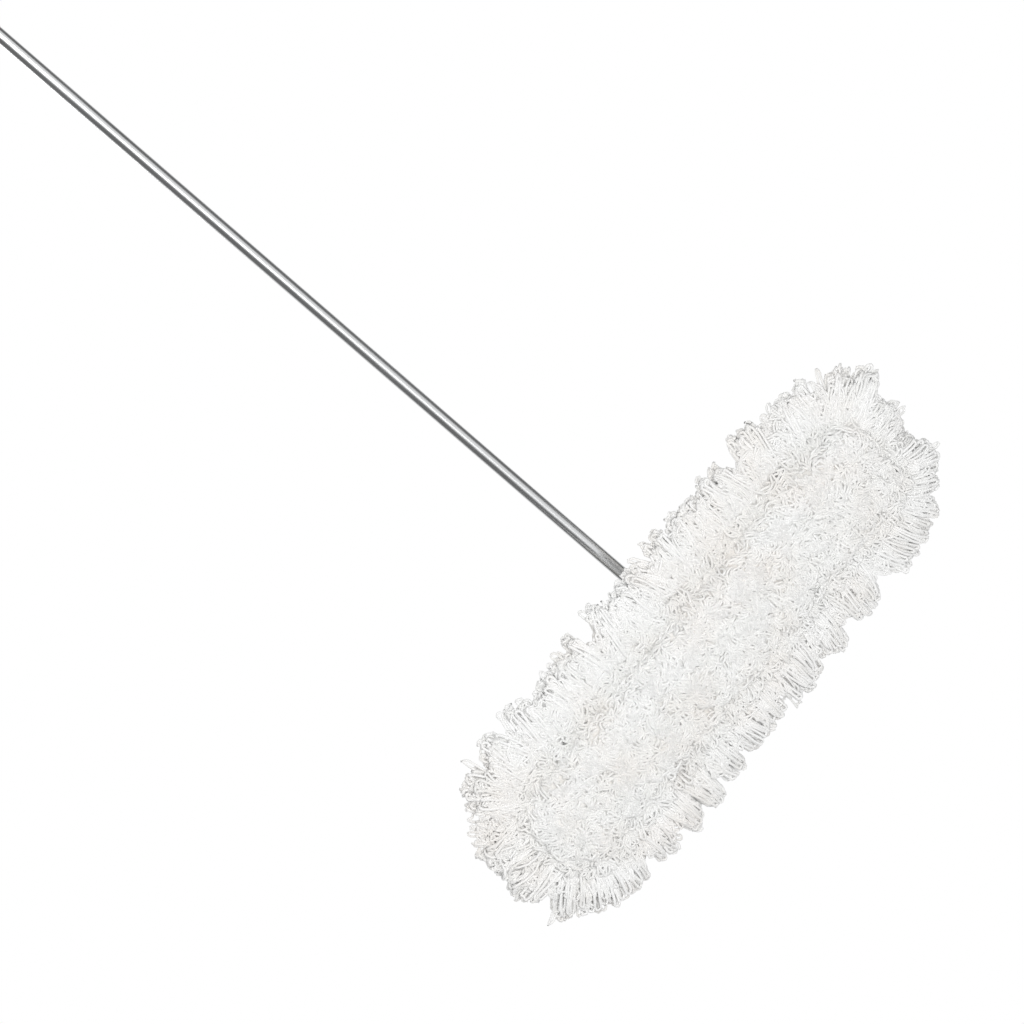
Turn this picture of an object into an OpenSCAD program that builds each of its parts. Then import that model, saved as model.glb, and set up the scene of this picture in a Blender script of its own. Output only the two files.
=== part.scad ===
// Dust mop: a looped cotton head sewn on canvas, a wire frame in its pockets, a clip-on
// connector that swivels and tilts, and a tubular steel handle with a hanging cap.
// Millimetres. Z is up and the yarn stands on Z = 0. X runs along the head.
// The handle lies towards -Y with its cap on the floor.

/* [Mop head] */
// Length of the backing cloth
head_l = 610; // [520:10:900]
// Width of the backing cloth
head_w = 127; // [120:1:170]
// Corner radius of the backing cloth
head_corner_r = 45; // [36:1:56]
// Thickness of the canvas
cloth_t = 1.5; // [0.8:0.1:2.5]
// Width of the edge tape on top of the canvas
tape_w = 9; // [6:0.5:12]
// Thickness of the edge tape
tape_t = 1; // [0.6:0.1:1.6]
// Depth of each frame pocket, from the end of the cloth to its mouth
pocket_depth = 150; // [110:5:180]
// Height of the yarn pile under the cloth
pile_h = 44; // [34:1:60]
// Reach of the yarn fringe past the cloth
fringe_reach = 77; // [50:1:95]
// How far the foot of the pile leans away from the handle
pile_lean = 11; // [0:1:14]
// Thickness of the yarn fringe
fringe_t = 26; // [16:0.5:30]
// Number of clumps of yarn round the fringe
fringe_clumps = 48; // [30:1:60]

/* [Wire frame] */
// Diameter of the frame wire
wire_d = 6; // [4:0.5:7]
// Spacing of the two neck wires, centre to centre
neck_gap = 36; // [32:1:44]
// Length of the straight neck that the connector clips to
neck_span = 90; // [80:1:120]
// Length over which the wires flare from the neck to the bows
flare_l = 50; // [36:1:60]
// Centreline radius of the bends at the neck
neck_bend_r = 18; // [12:1:24]

/* [Clip] */
// Length of the clip along the neck
clip_l = 60; // [52:1:70]
// Wall of the clip outside the neck wires
clip_wall = 4; // [3:0.5:6]
// Thickness of the plate that closes the clip's underside
plate_t = 1.6; // [1.2:0.1:2.5]
// Width of the thumb latch
latch_w = 18; // [14:0.5:22]
// Thickness of the thumb latch
latch_t = 2.6; // [2:0.1:4]
// Reach of the latch's nose past the wire's centre
latch_bite = 3.5; // [2:0.1:4]
// Outer diameter of the latch spring
spring_d = 5.6; // [4:0.1:7]
// Wire diameter of the latch spring
spring_wire_d = 0.8; // [0.5:0.05:1]

/* [Swivel] */
// Diameter of the king pin's shank
king_d = 10; // [8:0.5:12]
// Depth of the king pin's seat in the clip
king_seat = 8; // [6:0.5:12]
// Thickness of the yoke's base
yoke_t = 4; // [3:0.5:6]
// Thickness of each yoke ear
ear_t = 5; // [4:0.5:7]
// Diameter of the tilt bolt
bolt_d = 8; // [6:0.5:9]
// Radius of the handle's knuckle round the tilt bolt
knuckle_r = 9.5; // [8:0.5:11]
// Width of the handle's knuckle
knuckle_w = 26; // [24:0.5:32]
// Diameter of the king pin's head
king_head_d = 18; // [15:0.5:22]
// Diameter of the washers on the king pin
washer_d = 25; // [20:0.5:28]
// Thickness of the nylon washers
washer_t = 1; // [0.6:0.1:1.6]

/* [Handle] */
// Outer diameter of the handle tube
tube_d = 16; // [14:0.5:18]
// Wall of the handle tube
tube_wall = 1; // [0.8:0.1:1.6]
// Length of the handle tube, with its swaged end
tube_l = 1220; // [900:10:1500]
// Depth of the swaged end in the socket
socket_depth = 55; // [40:1:80]
// Wall of the socket
socket_wall = 3; // [2:0.25:4]
// Diameter of the hanging hole in the end cap
hang_hole_d = 8; // [6:0.5:9]

/* [Hidden] */
$fn = 64;

// Shared clearances
overrun = 1;
fit_gap = 0.05;
run_gap = 0.2;
soft_gap = 0.3;

// Heights of the stack, from the floor up
wire_r = wire_d / 2;
cloth_z = pile_h;
cloth_top = cloth_z + cloth_t;
bow_z = cloth_top + wire_r;
plate_z = cloth_top + soft_gap;
core_z = plate_z + plate_t;
channel_top = core_z + latch_t + 2 * run_gap;
neck_z = channel_top + fit_gap + wire_r;
cavity_top = channel_top + spring_d + 2 * run_gap;
king_floor_t = 2.5;
king_hole_z = max(cavity_top, neck_z + wire_r) + king_floor_t;
clip_top = king_hole_z + king_seat;
yoke_z = clip_top + washer_t + run_gap;
yoke_top = yoke_z + yoke_t;
king_head_z = yoke_top + washer_t + 2 * run_gap;
king_head_t = 3;
king_head_bevel = 1.5;
pivot_clear = 1.5;
pivot_z = king_head_z + king_head_t + knuckle_r + pivot_clear;

// Frame: the bows lie inside the pockets, concentric with the cloth's corners
pocket_gap = 1;
pocket_slope = 3;
pocket_ease = 1;
pocket_shoulder_share = 0.35;
hood_steps = 140;
pocket_inset = tape_w + pocket_gap;
frame_inset = pocket_inset + cloth_t + pocket_slope + wire_r;
bow_x = head_l / 2 - frame_inset;
bow_y = head_w / 2 - frame_inset;
bow_bend_r = head_corner_r - frame_inset;
neck_x = neck_span / 2;
neck_y = neck_gap / 2;
wire_sides = 12;
bend_steps = 5;

// Clip: the core hangs between the neck wires, narrower on the hook side so that it unhooks
unhook_gap = 0.6;
hook_lip = 0.6;
clip_half_w = neck_y + wire_r + fit_gap + clip_wall;
core_front = neck_y - wire_r - soft_gap;
hook_tip = neck_y - hook_lip;
core_back = hook_tip - wire_d - unhook_gap;
clip_corner_r = 6;
clip_bevel = 2;
latch_nose = neck_y + latch_bite;
latch_tail = 9;
latch_tab_t = 3;
latch_tab_h = 11;
latch_tab_r = 4;
latch_post_t = 2.5;
latch_post_w = spring_d;
cavity_wall = 2.5;
cavity_front = core_front - cavity_wall;
cavity_back = core_back - cavity_wall;
spring_turns = 8;
spring_z = channel_top + run_gap + spring_d / 2;
spring_front = -cavity_front + latch_post_t + run_gap + spring_wire_d / 2 + soft_gap;
spring_back = cavity_back - spring_wire_d / 2 - soft_gap;
screw_d = 3;
screw_head_d = 5.4;
screw_l = 9;
screw_margin = 5;

// Swivel
washer_r = washer_d / 2;
ear_gap = knuckle_w + 2 * (washer_t + 2 * run_gap);
ear_out = ear_gap / 2 + ear_t;
ear_rim = 0.5;
ear_r = knuckle_r + ear_rim;
yoke_half_w = washer_r + soft_gap;
yoke_corner_r = 5;
bolt_r = bolt_d / 2;
bolt_head_rim = 3;
bolt_head_t = 4;
bolt_bevel = 1;
nut_rim = 2.5;
nut_t = 6.5;
nut_across = bolt_d + 2 * nut_rim;
thread_out = 1.5;
knuckle_bevel = 1;

// Handle, measured along its own axis from the tilt bolt
tube_r = tube_d / 2;
swage_r = tube_r - tube_wall / 2;
socket_r = swage_r + fit_gap + socket_wall;
socket_neck_step = 1;
socket_neck_r = knuckle_r - socket_neck_step;
socket_neck_l = 4.5;
socket_taper = 8;
socket_bevel = 1;
tube_start = knuckle_r + socket_neck_l + socket_taper;
socket_end = tube_start + socket_depth;
tube_end = tube_start + tube_l;
rivet_d = 4;
rivet_head_d = 7.5;
rivet_head_t = 1.4;
rivet_bevel = 0.7;
rivet_inset = 22;
rivet_at = socket_end - rivet_inset;
cap_ease = 0.5;
cap_r = tube_r - cap_ease;
cap_spigot_l = 18;
cap_collar = 3;
cap_body_l = 14;
cap_tab_t = 9;
cap_tip = tube_end + cap_body_l;
cap_hole_at = cap_tip;
rest_angle = asin((pivot_z - cap_r) / cap_tip);

// Yarn forms
field_gap = 11;
field_shares = [[1.1, 0], [0.35, 0.1], [0, 0.34], [0.2, 0.6], [0.92, 0.78], [1, 1]];
field_lumps = 46;
field_lump = 1.4;
field_steps = 276;
fringe_root_w = 5;
fringe_root_h = 8;
fringe_shares = [
    [0.22, 0.12, 0.2], [0.62, 0.04, 0.7], [1, -0.2, 1], [0.93, -0.5, 1], [0.36, -1, 0.4], [0.11, -0.7, 0.1]
];
fringe_wave_share = 0.075;
clump_shares = [0.6, 0.4];
clump_skip = 11;
clump_phase = 50;
fringe_steps = 6 * fringe_clumps;

/* Outline of the cloth: [x, y, normal x, normal y] at a distance along its edge */

function edge_length(l, w, r) = 2 * (l - 2 * r) + 2 * (w - 2 * r) + 2 * PI * r;

function arc_point(cx, cy, r, angle) =
    [cx + r * cos(angle), cy + r * sin(angle), cos(angle), sin(angle)];

function edge_point(l, w, r, s) =
    let (a = l - 2 * r, b = w - 2 * r, q = PI * r / 2)
    s < b ? [l / 2, s - b / 2, 1, 0]
    : s < b + q ? arc_point(a / 2, b / 2, r, 90 * (s - b) / q)
    : s < a + b + q ? [a / 2 - (s - b - q), w / 2, 0, 1]
    : s < a + b + 2 * q ? arc_point(-a / 2, b / 2, r, 90 + 90 * (s - a - b - q) / q)
    : s < a + 2 * b + 2 * q ? [-l / 2, b / 2 - (s - a - b - 2 * q), -1, 0]
    : s < a + 2 * b + 3 * q ? arc_point(-a / 2, -b / 2, r, 180 + 90 * (s - a - 2 * b - 2 * q) / q)
    : s < 2 * a + 2 * b + 3 * q ? [s - a - 2 * b - 3 * q - a / 2, -w / 2, 0, -1]
    : arc_point(a / 2, -b / 2, r, 270 + 90 * (s - 2 * a - 2 * b - 3 * q) / q);

// A point d outside the cloth, at the share t of the way round an outline that lies base outside it
function outline_point(t, base, d, z) =
    let (l = head_l + 2 * base, w = head_w + 2 * base, r = head_corner_r + base)
    let (e = edge_point(l, w, r, t * edge_length(l, w, r)))
    [e[0] + (d - base) * e[2], e[1] + (d - base) * e[3], z];

/* Closed meshes from rings of points */

function ring_faces(rings, sides, wrap) = [
    for (i = [0 : rings - (wrap ? 1 : 2)], j = [0 : sides - 1], half = [0, 1])
    let (a = i * sides + j, b = i * sides + (j + 1) % sides)
    let (c = ((i + 1) % rings) * sides + j, d = ((i + 1) % rings) * sides + (j + 1) % sides)
    half == 0 ? [a, c, b] : [b, c, d]
];

// A skin through rings that each go counter-clockwise round Z, from the bottom ring up
module loft(rings) {
    n = len(rings);
    sides = len(rings[0]);
    points = [for (ring = rings, p = ring) p];
    middle = [for (i = [0, n - 1]) (rings[i][0] + rings[i][floor(sides / 2)]) / 2];
    first = n * sides;
    caps = [
        for (j = [0 : sides - 1], half = [0, 1])
        half == 0 ? [first, j, (j + 1) % sides]
        : [first + 1, (n - 1) * sides + (j + 1) % sides, (n - 1) * sides + j]
    ];
    polyhedron(concat(points, middle), concat(ring_faces(n, sides, false), caps));
}

// A tube that closes on itself, from rings that each go round the tube's own line
module closed_tube(rings) {
    polyhedron([for (ring = rings, p = ring) p], ring_faces(len(rings), len(rings[0]), true));
}

// A tube with flat ends
module open_tube(rings) {
    n = len(rings);
    sides = len(rings[0]);
    ends = [
        [for (j = [0 : sides - 1]) j],
        [for (j = [sides - 1 : -1 : 0]) (n - 1) * sides + j]
    ];
    polyhedron([for (ring = rings, p = ring) p], concat(ring_faces(n, sides, false), ends));
}

function unit(v) = v / norm(v);

// A round section at p, square to the direction t, turned so that one point is level with Z
function round_section(p, t, r, sides) =
    let (side = unit(cross([0, 0, 1], t)), up = cross(t, side))
    [for (k = [0 : sides - 1]) p + r * (cos(360 * k / sides) * side - sin(360 * k / sides) * up)];

/* Solid blocks with upright round corners */

module slab(l, w, r, z, h) {
    translate([-l / 2 + r, -w / 2, z]) cube([l - 2 * r, w, h]);
    translate([-l / 2, -w / 2 + r, z]) cube([l, w - 2 * r, h]);
    for (x = [-1, 1], y = [-1, 1]) translate([x * (l / 2 - r), y * (w / 2 - r), z]) cylinder(h = h, r = r);
}

module cloth_slab(d, z, h) {
    slab(head_l + 2 * d, head_w + 2 * d, head_corner_r + d, z, h);
}

module block(x0, x1, y0, y1, z0, z1) {
    translate([x0, y0, z0]) cube([x1 - x0, y1 - y0, z1 - z0]);
}

// A slab whose top edge is bevelled by b
module bevel_slab(l, w, r, z, h, b) {
    low = z + h - b;
    slab(l, w, r, z, h - b);
    translate([-l / 2 + r, 0, low]) rotate([90, 0, 90]) linear_extrude(l - 2 * r)
        polygon([[-w / 2, 0], [w / 2, 0], [w / 2 - b, b], [b - w / 2, b]]);
    translate([0, w / 2 - r, low]) rotate([90, 0, 0]) linear_extrude(w - 2 * r)
        polygon([[-l / 2, 0], [l / 2, 0], [l / 2 - b, b], [b - l / 2, b]]);
    for (x = [-1, 1], y = [-1, 1])
        translate([x * (l / 2 - r), y * (w / 2 - r), low]) cylinder(h = b, r1 = r, r2 = r - b);
}

// A bar along X, from x0 to x1
module bar_x(x0, x1, r) {
    translate([x0, 0, 0]) rotate([0, 90, 0]) cylinder(h = x1 - x0, r = r);
}

// A round head along X that stands on x and ends in a bevel, towards the given side
module head_x(x, side, r, h, b) {
    translate([x, 0, 0]) rotate([0, side * 90, 0]) {
        cylinder(h = h - b, r = r);
        translate([0, 0, h - b]) cylinder(h = b, r1 = r, r2 = r - b);
    }
}

/* Yarn */

function field_ring(share) = [
    for (k = [0 : field_steps - 1])
    let (t = k / field_steps)
    let (lump = share[1] > 0 && share[1] < 1 ? field_lump * sin(360 * field_lumps * t) : 0)
    outline_point(t, 0, lump - field_gap * share[0], cloth_z * share[1])
    + [0, pile_lean * (1 - share[1]), 0]
];

module yarn_field() {
    color("whitesmoke") loft([for (share = field_shares) field_ring(share)]);
}

// How far the clumps stand out at a share of the way round, from -1 to 1
function clump(t) =
    clump_shares[0] * sin(360 * fringe_clumps * t)
    + clump_shares[1] * sin(360 * (fringe_clumps - clump_skip) * t + clump_phase);

// The fringe's section from its sewn root round its tip: [reach, height, share of the clump's wave]
function fringe_section() = concat(
    [[-fringe_root_w, cloth_z, 0], [tape_t + soft_gap, cloth_z, 0]],
    [for (q = fringe_shares) [fringe_reach * q[0], cloth_z + fringe_t * q[1], q[2]]],
    [[-fringe_root_w, cloth_z - fringe_root_h, 0]]
);

function fringe_ring(t) = [
    for (q = fringe_section())
    outline_point(t, fringe_reach, q[0] * (1 + fringe_wave_share * q[2] * clump(t)), q[1])
];

module yarn_fringe() {
    color("whitesmoke") closed_tube([for (k = [0 : fringe_steps - 1]) fringe_ring(k / fringe_steps)]);
}

/* Canvas */

module backing_cloth() {
    color("ivory") cloth_slab(0, cloth_z, cloth_t);
}

// A tape folded over the cloth's edge and sewn flat on top
module edge_tape() {
    color("white") difference() {
        cloth_slab(tape_t, cloth_z, cloth_t + tape_t);
        cloth_slab(0, cloth_z - overrun, cloth_t + overrun);
        cloth_slab(-tape_w, cloth_z - overrun, cloth_t + tape_t + 2 * overrun);
    }
}

// Outline rings of a hood over both bows, shrunk by t for its lining
function hood_ring(d, z) = [for (k = [0 : hood_steps - 1]) outline_point(k / hood_steps, 0, -d, z)];

function hood_rings(t, base_z) =
    let (top = cloth_top + wire_d + pocket_ease + cloth_t - t)
    [
        hood_ring(pocket_inset + t, base_z),
        hood_ring(
            pocket_inset + t + pocket_slope * pocket_shoulder_share, top - wire_d * pocket_shoulder_share
        ),
        hood_ring(pocket_inset + t + pocket_slope, top)
    ];

// One pocket: a hood of canvas over the end of the frame, open towards the middle
module pocket(side) {
    mouth = head_l / 2 - pocket_depth;
    color("ivory") intersection() {
        difference() {
            loft(hood_rings(0, cloth_top));
            loft(hood_rings(cloth_t, cloth_top - overrun));
        }
        translate([side > 0 ? mouth : -head_l, -head_w, cloth_z]) cube([head_l - mouth, 2 * head_w, head_w]);
    }
}

module pocket_left() { pocket(-1); }

module pocket_right() { pocket(1); }

/* Wire frame */

// Corners of the wire loop, each with its bend radius, counter-clockwise from the right
frame_corners = [
    [[bow_x, -bow_y, bow_z], bow_bend_r],
    [[bow_x, bow_y, bow_z], bow_bend_r],
    [[neck_x + flare_l, bow_y, bow_z], neck_bend_r],
    [[neck_x, neck_y, neck_z], neck_bend_r],
    [[-neck_x, neck_y, neck_z], neck_bend_r],
    [[-neck_x - flare_l, bow_y, bow_z], neck_bend_r],
    [[-bow_x, bow_y, bow_z], bow_bend_r],
    [[-bow_x, -bow_y, bow_z], bow_bend_r],
    [[-neck_x - flare_l, -bow_y, bow_z], neck_bend_r],
    [[-neck_x, -neck_y, neck_z], neck_bend_r],
    [[neck_x, -neck_y, neck_z], neck_bend_r],
    [[neck_x + flare_l, -bow_y, bow_z], neck_bend_r]
];

// Points and directions along the bend at one corner: [point, direction]
function bend(before, corner, after, r) =
    let (u = unit(corner - before), v = unit(after - corner))
    let (turn = acos(u * v), reach = r * tan(turn / 2))
    let (inward = unit(v - u * (u * v)), centre = corner - u * reach + inward * r)
    [
        for (k = [0 : bend_steps])
        let (a = turn * k / bend_steps)
        [centre - inward * r * cos(a) + u * r * sin(a), u * cos(a) + inward * sin(a)]
    ];

function frame_line() = [
    for (i = [0 : len(frame_corners) - 1])
    let (n = len(frame_corners), c = frame_corners[i])
    for (p = bend(frame_corners[(i + n - 1) % n][0], c[0], frame_corners[(i + 1) % n][0], c[1])) p
];

module frame_wire() {
    color("silver") closed_tube([for (p = frame_line()) round_section(p[0], p[1], wire_r, wire_sides)]);
}

/* Clip */

// The grooves that the neck wires lie in
module wire_grooves() {
    for (y = [-neck_y, neck_y])
        translate([0, y, neck_z]) bar_x(-clip_l, clip_l, wire_r + fit_gap);
    block(-clip_l, clip_l, -neck_y - wire_r - fit_gap, -neck_y + wire_r + fit_gap, core_z - overrun, neck_z);
}

module at_screws() {
    for (x = [-1, 1], y = [-core_front + screw_margin, core_back - screw_margin])
        translate([x * (clip_l / 2 - screw_margin), y, plate_z]) children();
}

module clip_base() {
    slot = latch_w / 2 + run_gap;
    color("dimgray") difference() {
        union() {
            bevel_slab(clip_l, 2 * clip_half_w, clip_corner_r, neck_z, clip_top - neck_z, clip_bevel);
            block(-clip_l / 2, clip_l / 2, -core_front, core_back, core_z, neck_z + wire_r);
            for (x = [-clip_l / 2, slot + clip_wall])
                block(x, x + clip_l / 2 - slot - clip_wall, hook_tip, clip_half_w, core_z, neck_z + wire_r);
        }
        wire_grooves();
        block(-slot, slot, -clip_half_w - overrun, clip_half_w + overrun, core_z - overrun, channel_top);
        block(
            -latch_post_w / 2 - run_gap, latch_post_w / 2 + run_gap,
            -cavity_front - run_gap, cavity_back, channel_top - overrun, cavity_top
        );
        translate([0, 0, king_hole_z]) cylinder(h = king_seat + overrun, d = king_d + 2 * fit_gap);
        at_screws() cylinder(h = screw_l + overrun, d = screw_d + 2 * fit_gap);
    }
}

module clip_plate() {
    color("silver") difference() {
        block(-clip_l / 2, clip_l / 2, -core_front, core_back, plate_z, core_z);
        at_screws() cylinder(h = plate_t, d1 = screw_head_d + 2 * fit_gap, d2 = screw_d + 2 * fit_gap);
        at_screws() cylinder(h = plate_t + overrun, d = screw_d + 2 * fit_gap);
    }
}

// Four countersunk screws, flush with the plate's underside
module clip_screws() {
    color("silver") at_screws() {
        cylinder(h = plate_t, d1 = screw_head_d, d2 = screw_d);
        cylinder(h = screw_l, d = screw_d);
    }
}

// A plate that slides across the clip: its nose holds the front wire and its tab is pulled to let go
module thumb_latch() {
    tail = clip_half_w + latch_tail;
    z = core_z + run_gap;
    round_x = latch_w / 2 - latch_tab_r;
    color("firebrick") {
        block(-latch_w / 2, latch_w / 2, -latch_nose, tail, z, z + latch_t);
        block(-latch_w / 2, latch_w / 2, tail - latch_tab_t, tail, z, z + latch_tab_h - latch_tab_r);
        block(-round_x, round_x, tail - latch_tab_t, tail, z, z + latch_tab_h);
        for (x = [-round_x, round_x])
            translate([x, tail, z + latch_tab_h - latch_tab_r])
                rotate([90, 0, 0]) cylinder(h = latch_tab_t, r = latch_tab_r);
        block(
            -latch_post_w / 2, latch_post_w / 2, -cavity_front, -cavity_front + latch_post_t,
            z, spring_z + spring_d / 2
        );
    }
}

spring_rings = 10;
spring_line = [
    for (k = [0 : spring_turns * spring_rings])
    let (a = 360 * k / spring_rings, r = (spring_d - spring_wire_d) / 2)
    let (y = spring_front + (spring_back - spring_front) * k / (spring_turns * spring_rings))
    [r * cos(a), y, spring_z + r * sin(a)]
];
spring_gap = min([
    for (k = [0 : len(spring_line) - 1 - spring_rings])
    norm(spring_line[k] - spring_line[k + spring_rings]) - spring_wire_d
]);
echo(spring_gap = spring_gap);

// A section of the spring's wire, square to its helix
function spring_section(k) =
    let (p = spring_line[k], a = 360 * k / spring_rings)
    let (out = [cos(a), 0, sin(a)])
    [for (j = [0 : 5]) p + spring_wire_d / 2 * (cos(60 * j) * out + sin(60 * j) * [0, 1, 0])];

module latch_spring() {
    color("gainsboro") open_tube([for (k = [0 : len(spring_line) - 1]) spring_section(k)]);
}

/* Swivel */

module ring_washer(z) {
    color("white") translate([0, 0, z]) difference() {
        cylinder(h = washer_t, r = washer_r);
        translate([0, 0, -overrun]) cylinder(h = washer_t + 2 * overrun, d = king_d + 2 * fit_gap);
    }
}

module lower_washer() { ring_washer(clip_top); }

module upper_washer() { ring_washer(yoke_top + run_gap / 2); }

module king_pin() {
    color("silver") {
        translate([0, 0, king_hole_z]) cylinder(h = king_head_z - king_hole_z, d = king_d);
        translate([0, 0, king_head_z]) cylinder(h = king_head_t - king_head_bevel, d = king_head_d);
        translate([0, 0, king_head_z + king_head_t - king_head_bevel])
            cylinder(h = king_head_bevel, d1 = king_head_d, d2 = king_head_d - 2 * king_head_bevel);
    }
}

module ear(x) {
    block(x, x + ear_t, -ear_r, ear_r, yoke_z, pivot_z);
    translate([0, 0, pivot_z]) bar_x(x, x + ear_t, ear_r);
}

module swivel_yoke() {
    color("silver") difference() {
        union() {
            slab(2 * ear_out, 2 * yoke_half_w, yoke_corner_r, yoke_z, yoke_t);
            ear(-ear_out);
            ear(ear_out - ear_t);
        }
        translate([0, 0, yoke_z - overrun]) cylinder(h = yoke_t + 2 * overrun, d = king_d + 2 * fit_gap);
        translate([0, 0, pivot_z]) bar_x(-ear_out - overrun, ear_out + overrun, bolt_r + fit_gap);
    }
}

module tilt_bolt() {
    color("silver") translate([0, 0, pivot_z]) {
        bar_x(-ear_out, ear_out + nut_t, bolt_r);
        head_x(ear_out + nut_t, 1, bolt_r, thread_out, bolt_bevel);
        head_x(-ear_out, -1, bolt_r + bolt_head_rim, bolt_head_t, bolt_bevel);
    }
}

module tilt_nut() {
    color("silver") translate([ear_out, 0, pivot_z]) rotate([0, 90, 0]) difference() {
        cylinder(h = nut_t, d = nut_across / cos(30), $fn = 6);
        translate([0, 0, -overrun]) cylinder(h = nut_t + 2 * overrun, r = bolt_r + fit_gap);
    }
}

// Two washers, between the knuckle and each ear
module pivot_washers() {
    color("white") translate([0, 0, pivot_z]) difference() {
        for (x = [run_gap - ear_gap / 2, ear_gap / 2 - run_gap - washer_t])
            bar_x(x, x + washer_t, knuckle_r);
        bar_x(-ear_gap, ear_gap, bolt_r + fit_gap);
    }
}

/* Handle: built along Z from the tilt bolt, then laid down */

module along_handle() {
    translate([0, 0, pivot_z]) rotate([90 + rest_angle, 0, 0]) children();
}

module handle_socket() {
    taper_z = tube_start - socket_taper;
    color("dimgray") along_handle() difference() {
        union() {
            for (side = [-1, 1]) head_x(0, side, knuckle_r, knuckle_w / 2, knuckle_bevel);
            cylinder(h = tube_start, r = socket_neck_r);
            translate([0, 0, taper_z]) cylinder(h = socket_taper, r1 = socket_neck_r, r2 = socket_r);
            translate([0, 0, tube_start]) cylinder(h = socket_depth - socket_bevel, r = socket_r);
            translate([0, 0, socket_end - socket_bevel])
                cylinder(h = socket_bevel, r1 = socket_r, r2 = socket_r - socket_bevel);
        }
        bar_x(-knuckle_w, knuckle_w, bolt_r + fit_gap);
        translate([0, 0, tube_start]) cylinder(h = socket_depth + overrun, r = swage_r + fit_gap);
        translate([0, 0, rivet_at]) bar_x(-tube_d, tube_d, rivet_d / 2 + fit_gap);
    }
}

// A rivet across the socket, through the swaged end of the tube
module socket_rivet() {
    color("silver") along_handle() translate([0, 0, rivet_at]) {
        bar_x(-socket_r, socket_r, rivet_d / 2);
        for (side = [-1, 1]) head_x(side * socket_r, side, rivet_head_d / 2, rivet_head_t, rivet_bevel);
    }
}

// The tube's lower end is swaged to enter the socket, and its shoulder sits on the socket's mouth
module handle_tube() {
    shoulder = socket_end + run_gap;
    color("lightgray") along_handle() difference() {
        union() {
            translate([0, 0, tube_start]) cylinder(h = shoulder - tube_start, r = swage_r);
            translate([0, 0, shoulder]) cylinder(h = tube_end - shoulder, r = tube_r);
        }
        translate([0, 0, tube_start - overrun])
            cylinder(h = shoulder - tube_start + 2 * overrun, r = swage_r - tube_wall);
        translate([0, 0, shoulder + tube_wall]) cylinder(h = tube_l, r = tube_r - tube_wall);
        translate([0, 0, rivet_at]) bar_x(-tube_d, tube_d, rivet_d / 2 + fit_gap);
    }
}

// A plug with a round end, flattened on both sides and drilled to hang on a hook
module end_cap() {
    color("dimgray") along_handle() difference() {
        union() {
            translate([0, 0, tube_end - cap_spigot_l])
                cylinder(h = cap_spigot_l + overrun, r = tube_r - tube_wall - fit_gap);
            translate([0, 0, tube_end]) cylinder(h = cap_body_l, r = cap_r);
            translate([0, 0, cap_tip]) sphere(r = cap_r);
        }
        for (x = [cap_tab_t / 2, -cap_tab_t / 2 - tube_d])
            block(x, x + tube_d, -tube_d, tube_d, tube_end + cap_collar, cap_tip + tube_d);
        translate([0, 0, cap_hole_at]) bar_x(-tube_d, tube_d, hang_hole_d / 2);
    }
}

yarn_field();
yarn_fringe();
backing_cloth();
edge_tape();
pocket_left();
pocket_right();
frame_wire();
clip_base();
clip_plate();
clip_screws();
thumb_latch();
latch_spring();
king_pin();
lower_washer();
upper_washer();
swivel_yoke();
tilt_bolt();
tilt_nut();
pivot_washers();
handle_socket();
socket_rivet();
handle_tube();
end_cap();
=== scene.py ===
import math

import bmesh
import bpy
import numpy as np
from mathutils import Matrix, Vector


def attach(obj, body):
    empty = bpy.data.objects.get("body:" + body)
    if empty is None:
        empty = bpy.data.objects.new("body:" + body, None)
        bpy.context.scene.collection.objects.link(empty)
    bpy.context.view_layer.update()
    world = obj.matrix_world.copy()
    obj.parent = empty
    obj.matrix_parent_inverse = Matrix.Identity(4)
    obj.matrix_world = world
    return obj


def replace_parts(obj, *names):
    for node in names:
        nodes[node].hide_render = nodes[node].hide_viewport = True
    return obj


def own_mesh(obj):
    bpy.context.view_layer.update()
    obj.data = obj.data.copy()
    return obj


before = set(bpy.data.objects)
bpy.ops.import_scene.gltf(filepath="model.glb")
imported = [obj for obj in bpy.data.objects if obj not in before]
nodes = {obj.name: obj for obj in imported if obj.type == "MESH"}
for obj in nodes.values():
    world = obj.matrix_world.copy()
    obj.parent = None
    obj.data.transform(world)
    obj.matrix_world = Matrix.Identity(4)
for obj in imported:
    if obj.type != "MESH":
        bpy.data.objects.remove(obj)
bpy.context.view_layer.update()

# Sizes of the head in metres, the same as in the part's source
half_l, half_w, corner_r = 0.305, 0.0635, 0.045
cloth_z, cloth_top = 0.044, 0.0455
fringe_reach, tape_w, pocket_inset, mouth_x = 0.077, 0.009, 0.010, 0.155
# Sizes of the frame and the clip
wire_r, bow_x, bow_y, bow_z, bow_bend = 0.003, 0.2875, 0.046, 0.0485, 0.0275
neck_x, neck_y, neck_z, flare_x, neck_bend = 0.045, 0.018, 0.05345, 0.095, 0.018
spring_y, spring_z, spring_r, spring_wire, spring_turns = (-0.0088, 0.0076), 0.0534, 0.0024, 0.0004, 8
# Sizes of the handle, measured from the tilt bolt along the handle
pivot_z, rest_angle = 0.08755, math.radians(3.65417)
tube_start, socket_end, tube_end, tube_r, swage_r = 0.022, 0.0772, 1.242, 0.008, 0.0075
# The yarn: its radius, the sides of its section, and the room that the loops keep over the floor
yarn_r, yarn_sides, floor_gap = 0.0017, 5, 0.0002
# The pile: its push to the far side at the floor, its length over the cloth's, and where its ridge runs
pile_lean, end_spill, ridge_y = 0.012, 1.05, -0.036
# The fringe: its clumps, how far inside the edge it is sewn, and the reach that counts as its middle
clumps, sewn_in, mid_reach = 48, 0.006, 0.6 * fringe_reach
# Heights of each layer of the fringe at its root, at its parabola's control point and at its tip
layer_heights = (
    (0.0415, 0.040, 0.0390), (0.0395, 0.029, 0.0360), (0.0375, 0.018, 0.0325), (0.035, 0.007, 0.0285))
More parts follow.
